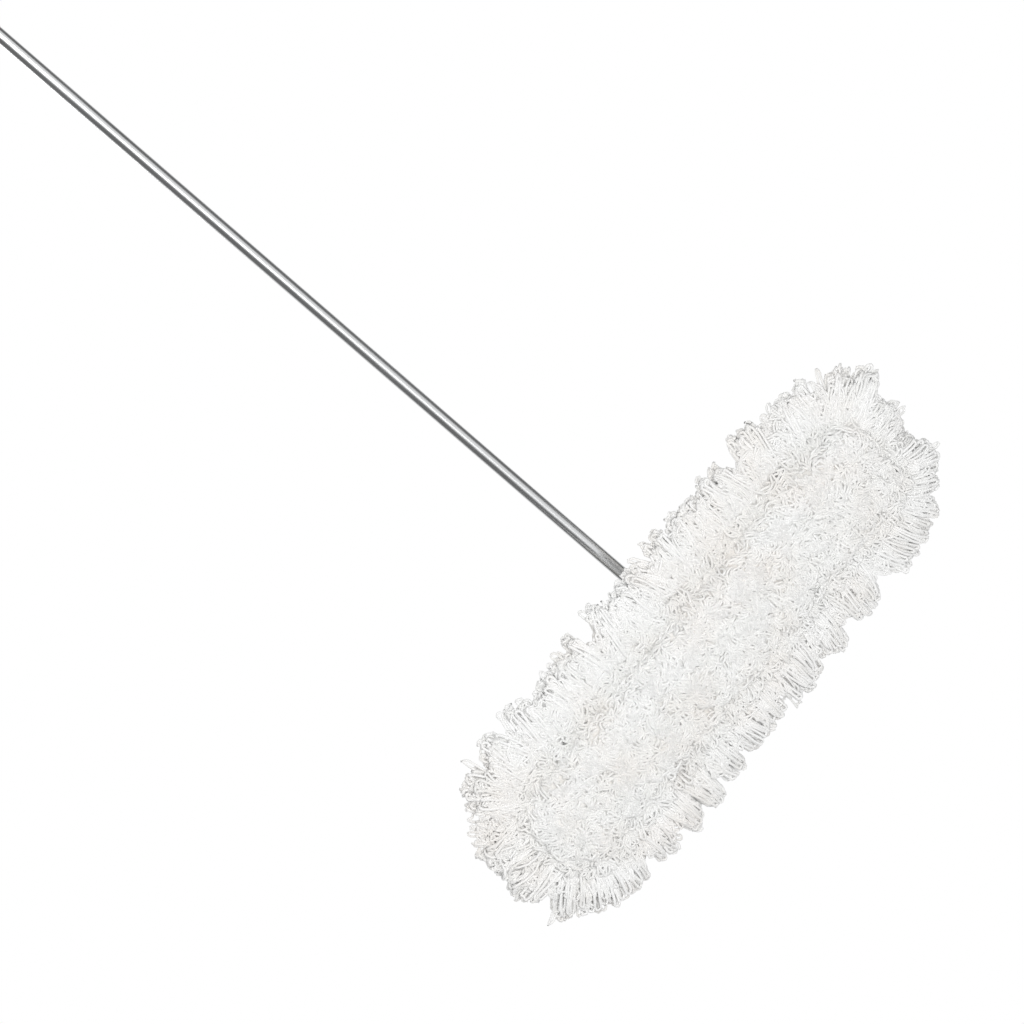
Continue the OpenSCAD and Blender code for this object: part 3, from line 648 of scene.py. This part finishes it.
def ridge_loops(name, first, last, n, seed):
    """Short loops over the underside of the fringe between two places on the edge: hairpins that lie on a
    parabola close to the lowest layer's, most of them pointing outwards, all of them curlier and greyer at
    the left end, where the head has been pressed."""
    dice = np.random.default_rng(seed)
    t = first + (last - first) * spaced(dice, n, 0.5)
    base, normal = outline(t, mid_reach)
    off = 0.003 + (0.052 + 0.020 * pressed(base)) * dice.uniform(0, 1, n) ** 1.15
    span = fringe_reach * fringe_size(t)
    a = (off + sewn_in) / span
    low, middle, tip = 0.035, 0.007, 0.0315
    z = parabola(a, low, middle, tip) + dice.normal(0, 0.0008, n)
    slope = 2 * (middle * (1 - 2 * a) + tip * a - low * (1 - a)) / span
    spot = base + normal * (off - mid_reach)[:, None]
    curly = pressed(spot)
    out = unit(raised(normal * slope[:, None], -1))
    turn = (dice.normal(0, 1, n) * (0.5 + 1.5 * curly))[:, None]
    along = np.cos(turn) * unit(raised(normal, slope)) + np.sin(turn) * edgewise(normal)
    line = lying_loops(dice, raised(spot, z), along, out, length=(0.012, 0.024), width=(0.0038, 0.0064),
                       bend=0.005, arch=(0.0002, 0.0028), dive=0.005, drift=0.0011, seed=seed + 1,
                       shrink=1 - 0.3 * curly)
    thick = dice.uniform(0.85, 1.05, (n, 1))
    return yarn_piece(name, line, thick, out[:, None], dice.uniform(0, 0.6, n) + 0.3 * curly)


def stray_loops():
    """A few loose loops that reach past the rest: hairpins pushed sideways, which droop by a sine of the share
    that they are out."""
    dice = np.random.default_rng(61)
    n, root_z, droop = 16, 0.039, 0.011
    t = np.sort(dice.uniform(0, 1, n))
    base, normal = outline(t, mid_reach)
    root = raised(base - normal * mid_reach, root_z)
    reach = fringe_reach * fringe_size(t) * dice.uniform(0.98, 1.08, n)
    width = dice.uniform(0.005, 0.008, n)
    bend = dice.normal(0, 0.014, n)
    line, share = hairpin(root, raised(normal, 0), edgewise(normal), reach, width, bend, steps=15)
    line[..., 2] -= droop * np.sin(np.pi * share)
    line = wander(line, 0.0016, waves=2.5, seed=62)
    return yarn_piece("stray_loops", line, 0.95, upward, dice.uniform(0, 1, n))


def fringe_core():
    """The dense middle of the fringe: a flat closed band under the loops, which follows the clumps and
    stops short of the tips. Its section is a parabola like the loops' own, with a thickness that thins out
    to the rim."""
    steps, rib_count, rib_height = 960, 400, 0.0007
    t = np.arange(steps) / steps
    base, normal = outline(t, mid_reach)
    a = np.array([0, 0.15, 0.32, 0.5, 0.64, 0.74, 0.77, 0.74, 0.64, 0.5, 0.32, 0.15, 0])
    thick = np.array([10, 20, 15, 5, 0, -5, -15, -25, -45, -72, -95, -95, -80]) * 1e-4
    out = a[:, None] * fringe_reach * fringe_size(t)[None] - sewn_in - mid_reach
    ribs = rib_height * np.sin(2 * np.pi * rib_count * t)[None] * np.sign(thick)[:, None]
    xy = base[None] + out[..., None] * normal[None]
    z = (parabola(a, 0.0395, 0.0235, 0.0375) + thick)[:, None] + ribs
    grid = np.concatenate([xy, z[..., None]], -1)[None]
    return make_piece("fringe_core", grid, "head", yarn_deep, wrap=(True, True),
                      tone=np.array([0.4]), weld=True)


pile = [pile_face("pile_loops_left", -1, 11), pile_face("pile_loops_right", 1, 15)]
pile += [pile_flank(), valley_loops(), pile_core()]
fringe = [fringe_loops(f"fringe_loops_{k + 1}", k, (430, 380, 360, 390)[k], 50 + 7 * k) for k in range(4)]
fringe += [ridge_loops("ridge_loops_far", 0.0, 0.5, 1000, 81),
           ridge_loops("ridge_loops_near", 0.5, 1.0, 1600, 83)]
fringe += [stray_loops(), fringe_core()]
for piece in pile:
    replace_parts(piece, "yarn_field")
for piece in fringe:
    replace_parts(piece, "yarn_fringe")


# The cloth: a canvas backing with a bound edge, and a pocket at each end

def backing():
    """The canvas: a thin slab with a rolled edge, its top a little uneven from the rows of sewing below."""
    roll, face = 0.0004, cloth_top - 0.0001

    def top(x, y):
        """Height of the upper face: a plane with a slight ripple."""
        return face + 0.00012 * ripple(x, y, 0.03, 71)

    rows = [(0, 0, cloth_z), (0.5, 0, cloth_z), (1, roll, cloth_z)]
    rows += [(1, 0, cloth_z + roll), (1, 0, cloth_top - roll), (1, roll, face)]
    rows += [(share, roll, top) for share in np.linspace(0.96, 0, 16)]
    return make_piece("backing_canvas", spine_loft(rows, 360), "head", canvas, weld=True)


def binding():
    """The tape: a flat band folded over the canvas's edge, its section carried round the outline. Its inner
    edge waves a little, and the stitches pull it down along its middle."""
    section = np.array([
        (-tape_w, 0.04555), (-tape_w, 0.0460), (-0.0086, 0.0464), (-0.0068, 0.0466), (-tape_seam, 0.0466),
        (-0.0028, 0.0466), (-0.0008, 0.0465), (0.0006, 0.0460), (0.0010, 0.0452), (0.0010, 0.0445),
        (0.0007, 0.0440), (0.0001, 0.0442), (0.0000, 0.0453), (-0.0012, 0.04552)])
    off, height = section[:, :1], section[:, 1:]
    steps, dent = 930, 0.00025
    t = np.arange(steps) / steps
    edge, normal = outline(t, 0.0)
    wave = 0.00025 * np.sin(2 * np.pi * 61 * t) + 0.0002 * np.sin(2 * np.pi * 97 * t + 1)
    out = off + np.where(off < -0.006, wave[None], 0)
    stitched = (1 + np.cos(2 * np.pi * tape_stitch_count * t))[None] / 2
    z = height - dent * bell(off, -tape_seam, 0.0012) * stitched
    grid = np.concatenate([edge[None] + out[..., None] * normal[None], z[..., None]], -1)[None]
    return make_piece("binding_tape", grid, "head", tape, wrap=(True, True), weld=True)


def pocket_skin(x, y):
    """Middle of the pocket's cloth: it rises from its sewn edge in a smooth step over the wire, sags
    between the wires as a parabola, is doubled at the hem of its mouth, and has a few soft wrinkles."""
    depth = inset(x, y, -pocket_inset)
    past_mouth = np.abs(x) - mouth_x
    over = cloth_top + 0.0007 + 0.0070 * ease(depth / 0.0045)
    open_share = 1 - ease(past_mouth / 0.10)
    sag = 0.0030 * np.maximum(1 - (y / 0.040) ** 2, 0) * ease(depth / 0.022) * (0.45 + 0.55 * open_share)
    hem = 0.0006 * (1 - ease((past_mouth - 0.010) / 0.0015))
    return over - sag + hem + 0.0003 * ripple(x, y, 0.028, 73) * ease(depth / 0.01)


def pocket(name, side):
    """A pocket: rows of points across the head from the mouth to the end, each as wide as the outline
    there."""
    u, v = np.linspace(0, 1, 61)[:, None], np.sin(np.linspace(-1, 1, 57) * np.pi / 2)[None]
    x = mouth_x + (half_l - pocket_inset - mouth_x) * (1 - (1 - u) ** 1.6)
    bend = corner_r - pocket_inset
    half = half_w - corner_r + np.sqrt(np.maximum(bend ** 2 - np.maximum(x - half_l + corner_r, 0) ** 2, 0))
    y = v * half
    x = np.broadcast_to(x, y.shape) * side
    grid = np.stack([x, y, pocket_skin(x, y)], -1)[None]
    if side > 0:
        grid = grid[:, :, ::-1]
    piece = make_piece(name, grid, "head", canvas, wrap=(False, False))
    wall = piece.modifiers.new("cloth", "SOLIDIFY")
    wall.thickness, wall.offset = 0.0012, 0.0
    return piece


def stitches(name, spot, run, up):
    """Short threads along a seam: each lies along the seam for about 3 mm and dives into the cloth at both
    ends by the fourth power of the way out."""
    half, lift, dive, thread_r = 0.0016, 0.00030, 0.0008, 0.00042
    v = np.linspace(-1, 1, 7)
    line = spot[:, None] + run[:, None] * (half * v)[None, :, None]
    line = line + up[:, None] * (lift - dive * v ** 4)[None, :, None]
    tone = np.random.default_rng(75).uniform(0, 1, len(spot))
    grid = strand(line, thread_r, up[:, None], sides=6)
    return make_piece(name, grid, "head", thread, capped=True, tone=tone)


def tape_stitches():
    """A row of stitches along the middle of the binding tape."""
    edge, normal = outline((np.arange(tape_stitch_count) + 0.5) / tape_stitch_count, 0.0)
    spot = raised(edge - tape_seam * normal, 0.04655)
    run = edgewise(normal)
    return stitches("tape_stitches", spot, run, np.broadcast_to(upward, run.shape))


def hem_stitches():
    """Two rows of stitches along the hem of each pocket's mouth."""
    half_row, pitch, rows = 0.047, 0.0045, [0.0025, 0.0085]
    y, at = np.meshgrid(np.arange(-half_row, half_row + 0.0001, pitch), rows)
    y, x = y.ravel(), mouth_x + at.ravel()
    both_x, both_y = np.concatenate([x, -x]), np.concatenate([y, y])
    spot = np.stack([both_x, both_y, pocket_skin(both_x, both_y) + 0.0006], -1)
    _, slope = slopes(pocket_skin, both_x, both_y)
    run = unit(np.stack([0 * slope, np.ones_like(slope), slope], -1))
    up = unit(np.stack([0 * slope, -slope, np.ones_like(slope)], -1))
    return stitches("hem_stitches", spot, run, up)


cloth = backing()
bound = binding()
pockets = [pocket("canvas_pocket_left", -1), pocket("canvas_pocket_right", 1)]
seams = [tape_stitches(), hem_stitches()]
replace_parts(cloth, "backing_cloth")
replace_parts(bound, "edge_tape")
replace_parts(pockets[0], "pocket_left")
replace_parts(pockets[1], "pocket_right")


# The frame, the handle and the latch's spring

def frame_rod():
    """The wire loop: arcs at its twelve corners joined by straight runs, with a round section. An arc is
    its centre, less its inward radius times the cosine, plus its forward radius times the sine, of the
    angle turned."""
    bow, neck, flare = (bow_x, bow_y, bow_z), (neck_x, neck_y, neck_z), (flare_x, bow_y, bow_z)
    quarter = np.array([bow, flare, neck])
    signs = np.array([(1, 1, 1), (-1, 1, 1), (-1, -1, 1), (1, -1, 1)])
    turned = [quarter * signs[0], quarter[::-1] * signs[1], quarter * signs[2], quarter[::-1] * signs[3]]
    corner = np.concatenate(turned)
    radius = np.tile([bow_bend, neck_bend, neck_bend, neck_bend, neck_bend, bow_bend], 2)[:, None]
    ahead = unit(corner - np.roll(corner, 1, 0))
    after = np.roll(ahead, -1, 0)
    cosine = (ahead * after).sum(-1, keepdims=True)
    turn = np.arccos(cosine)
    inward = unit(after - ahead * cosine)
    centre = corner - ahead * radius * np.tan(turn / 2) + inward * radius
    angle = (turn * np.linspace(0, 1, 14))[..., None]
    line = centre[:, None] - (inward * radius)[:, None] * np.cos(angle)
    line = line + (ahead * radius)[:, None] * np.sin(angle)
    grid = strand(line.reshape(1, -1, 3), wire_r, upward, sides=20, closed=True)
    return make_piece("frame_rod", grid, "head", zinc_rod, wrap=(True, True), weld=True)


def tube():
    """The handle: a profile of radii turned round the handle's axis, with a stepped-in lower end that
    enters the socket, a rounded shoulder above it and a rounded rim at the top."""
    profile = np.array([
        (tube_start, 0), (tube_start, 0.0068), (tube_start + 0.0007, swage_r), (socket_end - 0.0006, swage_r),
        (socket_end, swage_r), (socket_end + 0.0002, 0.0078), (socket_end + 0.0008, tube_r), (0.2, tube_r),
        (0.6, tube_r), (1.0, tube_r), (tube_end - 0.0006, tube_r), (tube_end - 0.0001, 0.0078),
        (tube_end, 0.0074), (tube_end, 0)])
    axis = np.array([0, -math.cos(rest_angle), -math.sin(rest_angle)])
    side = np.array([1.0, 0, 0])
    turn = np.linspace(0, 2 * np.pi, 72, endpoint=False)[:, None]
    ring = np.cos(turn) * side + np.sin(turn) * np.cross(axis, side)
    middle = np.array([0, 0, pivot_z]) + profile[:, :1] * axis
    grid = (middle[:, None] + profile[:, 1][:, None, None] * ring)[None]
    return make_piece("handle_shaft", grid, "handle", bright_tube, weld=True, crease=50)


def coil():
    """The latch's spring: a helix along the latch's travel, with a round section."""
    share = np.linspace(0, 1, 20 * spring_turns + 1)
    turn = 2 * np.pi * spring_turns * share
    y = spring_y[0] + (spring_y[1] - spring_y[0]) * share
    line = np.stack([spring_r * np.cos(turn), y, spring_z + spring_r * np.sin(turn)], -1)[None]
    grid = strand(line, spring_wire, np.array([0, 1.0, 0]), sides=8)
    return make_piece("latch_coil", grid, "head", spring_steel, capped=True)


def rounded(node, body, finish, edge):
    """A CAD node with its loose triangles joined into whole faces, its sharp edges rounded by a small bevel
    and its round walls shaded smooth."""
    flat, sharp, touching = math.radians(0.6), math.radians(32), 1e-6
    mesh = nodes[node].data.copy()
    shell = bmesh.new()
    shell.from_mesh(mesh)
    bmesh.ops.remove_doubles(shell, verts=shell.verts, dist=touching)
    bmesh.ops.dissolve_limit(shell, angle_limit=flat, verts=shell.verts, edges=shell.edges)
    shell.to_mesh(mesh)
    shell.free()
    mesh.materials.clear()
    mesh.materials.append(finish)
    mesh.polygons.foreach_set("use_smooth", np.ones(len(mesh.polygons), bool))
    mesh.set_sharp_from_angle(angle=sharp)
    piece = place(bpy.data.objects.new(node + "_finished", mesh), body)
    soften = piece.modifiers.new("edges", "BEVEL")
    soften.width, soften.segments, soften.limit_method = edge, 2, "ANGLE"
    soften.angle_limit, soften.harden_normals, soften.use_clamp_overlap = sharp, True, True
    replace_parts(piece, node)
    return piece


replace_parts(frame_rod(), "frame_wire")
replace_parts(tube(), "handle_tube")
spring = coil()
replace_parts(spring, "latch_spring")
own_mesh(spring)
for node, body in [("clip_base", "head"), ("handle_socket", "handle"), ("end_cap", "handle")]:
    rounded(node, body, black_nylon, 0.0007)
steel_nodes = [
    ("clip_plate", "head"), ("clip_screws", "head"), ("thumb_latch", "latch"), ("king_pin", "head"),
    ("swivel_yoke", "swivel"), ("tilt_bolt", "swivel"), ("tilt_nut", "swivel"), ("socket_rivet", "handle")]
for node, body in steel_nodes:
    rounded(node, body, zinc_steel, 0.0003)
for node, body in [("lower_washer", "head"), ("upper_washer", "swivel"), ("pivot_washers", "swivel")]:
    rounded(node, body, white_nylon, 0.0002)


# Stage: camera, light and floor

def aim_camera():
    """A far camera under the head, looking up at the pile and leaning to the handle's side. The handle's
    run in the picture is turned to the photograph's, and the head's middle is put on the photograph's
    pixel."""
    tilt, swing, away, sensor = math.radians(22), math.radians(-9.5), 11.0, 36
    image_px, head_px_x, head_px_y, metres_per_px = 1024, 705, 639, 0.001217
    handle_px_right, handle_px_up = -0.7571, 0.6532
    head_middle = Vector((0.002, 0, 0.036))
    back = Vector((math.sin(tilt) * math.sin(swing), -math.sin(tilt) * math.cos(swing), -math.cos(tilt)))
    handle = Vector((0, -math.cos(rest_angle), -math.sin(rest_angle)))
    run = (handle - back * handle.dot(back)).normalized()
    beside = back.cross(run)
    right = handle_px_right * run - handle_px_up * beside
    up = handle_px_up * run + handle_px_right * beside
    from_left = (head_px_x - image_px / 2) * metres_per_px
    from_top = (head_px_y - image_px / 2) * metres_per_px
    lens = bpy.data.cameras.new("camera")
    lens.sensor_width = sensor
    lens.lens = sensor * away / (image_px * metres_per_px)
    lens.clip_end = 100
    camera = bpy.data.objects.new("camera", lens)
    camera.matrix_world = Matrix((
        (right.x, up.x, back.x, 0), (right.y, up.y, back.y, 0), (right.z, up.z, back.z, 0), (0, 0, 0, 1)))
    camera.location = head_middle - right * from_left + up * from_top + back * away
    bpy.context.scene.collection.objects.link(camera)
    bpy.context.scene.camera = camera
    return right, up, back


def soft_lamp(name, at, aim, size, watts):
    """A square soft box that faces a point."""
    lamp = bpy.data.lights.new(name, "AREA")
    lamp.shape, lamp.size, lamp.energy = "SQUARE", size, watts
    box = bpy.data.objects.new(name, lamp)
    box.location = at
    box.rotation_mode = "QUATERNION"
    box.rotation_quaternion = (Vector(aim) - Vector(at)).to_track_quat("-Z", "Y")
    bpy.context.scene.collection.objects.link(box)


def white_room():
    """World: even light on the object, white behind it, and for metal a bright ground and ceiling with
    darker walls, whose edges are smooth steps of the height that a ray looks to."""
    world = bpy.data.worlds.new("white_room")
    bpy.context.scene.world = world
    world.use_nodes = True
    tree = world.node_tree
    tree.nodes.clear()
    wall, white, smooth = 0.18, linear("#ffffff"), {"interpolation_type": "SMOOTHSTEP"}
    ray = add(tree, "LightPath").outputs
    even = add(tree, "Background", {"Color": white, "Strength": 0.50})
    behind = add(tree, "Background", {"Color": white, "Strength": 1.0})
    sky = add(tree, "TexCoord")
    level = add(tree, "SeparateXYZ", {"Vector": sky.outputs["Generated"]}).outputs
    skew = add(tree, "Math", {0: level["X"], 1: -0.22, 2: level["Z"]}, operation="MULTIPLY_ADD")
    ground = remap(tree, skew.outputs[0], -0.55, -0.80, wall, 1.0, **smooth)
    ceiling = remap(tree, level["Z"], 0.33, 0.68, wall, 0.9, **smooth)
    room = add(tree, "Math", {0: ground, 1: ceiling}, operation="MAXIMUM")
    seen = add(tree, "Background", {"Color": room.outputs[0], "Strength": 1.0})
    plain = add(tree, "Math", {0: ray["Is Camera Ray"], 1: ray["Is Transmission Ray"]}, operation="MAXIMUM")
    metal = add(tree, "MixShader", {0: ray["Is Glossy Ray"], 1: even.outputs[0], 2: seen.outputs[0]})
    both = add(tree, "MixShader", {0: plain.outputs[0], 1: metal.outputs[0], 2: behind.outputs[0]})
    add(tree, "OutputWorld", {"Surface": both.outputs[0]})


def pale_floor():
    """Floor: a wide pale sheet that takes the object's shadow, seen from above only, fading to white far
    out."""
    finish, tree, shader, spots = new_finish("pale_floor")
    connect(tree, shader, {"Base Color": linear("#f3f3f2"), "Roughness": 0.9})
    clear = add(tree, "BsdfTransparent")
    faces = add(tree, "NewGeometry")
    far = add(tree, "VectorMath", {0: spots["Object"]}, operation="LENGTH")
    fade = remap(tree, far.outputs["Value"], 1.2, 2.6)
    gone = add(tree, "Math", {0: faces.outputs["Backfacing"], 1: fade}, operation="MAXIMUM")
    mixed = add(tree, "MixShader", {0: gone.outputs[0], 1: shader.outputs[0], 2: clear.outputs[0]})
    tree.links.new(mixed.outputs[0], tree.nodes["Material Output"].inputs["Surface"])
    mesh = bpy.data.meshes.new("floor")
    mesh.from_pydata([(-3, -3.6, 0), (3, -3.6, 0), (3, 2.4, 0), (-3, 2.4, 0)], [], [(0, 1, 2, 3)])
    mesh.materials.append(finish)
    floor = bpy.data.objects.new("floor", mesh)
    bpy.context.scene.collection.objects.link(floor)
    floor.visible_diffuse = floor.visible_glossy = floor.visible_transmission = floor.visible_shadow = False


right, up, back = aim_camera()
head_spot = (0, -0.1, 0.04)
soft_lamp("soft_box_front", back * 3.0 + up * 0.1 + right * 0.1, head_spot, 1.3, 51)
soft_lamp("soft_box_below", (-0.25, 0.40, -2.9), head_spot, 1.2, 9)
soft_lamp("soft_box_top", (-0.7, -1.0, 3.4), (0, -0.4, 0.04), 2.2, 64)
white_room()
pale_floor()
bpy.context.scene.view_settings.view_transform = "Standard"
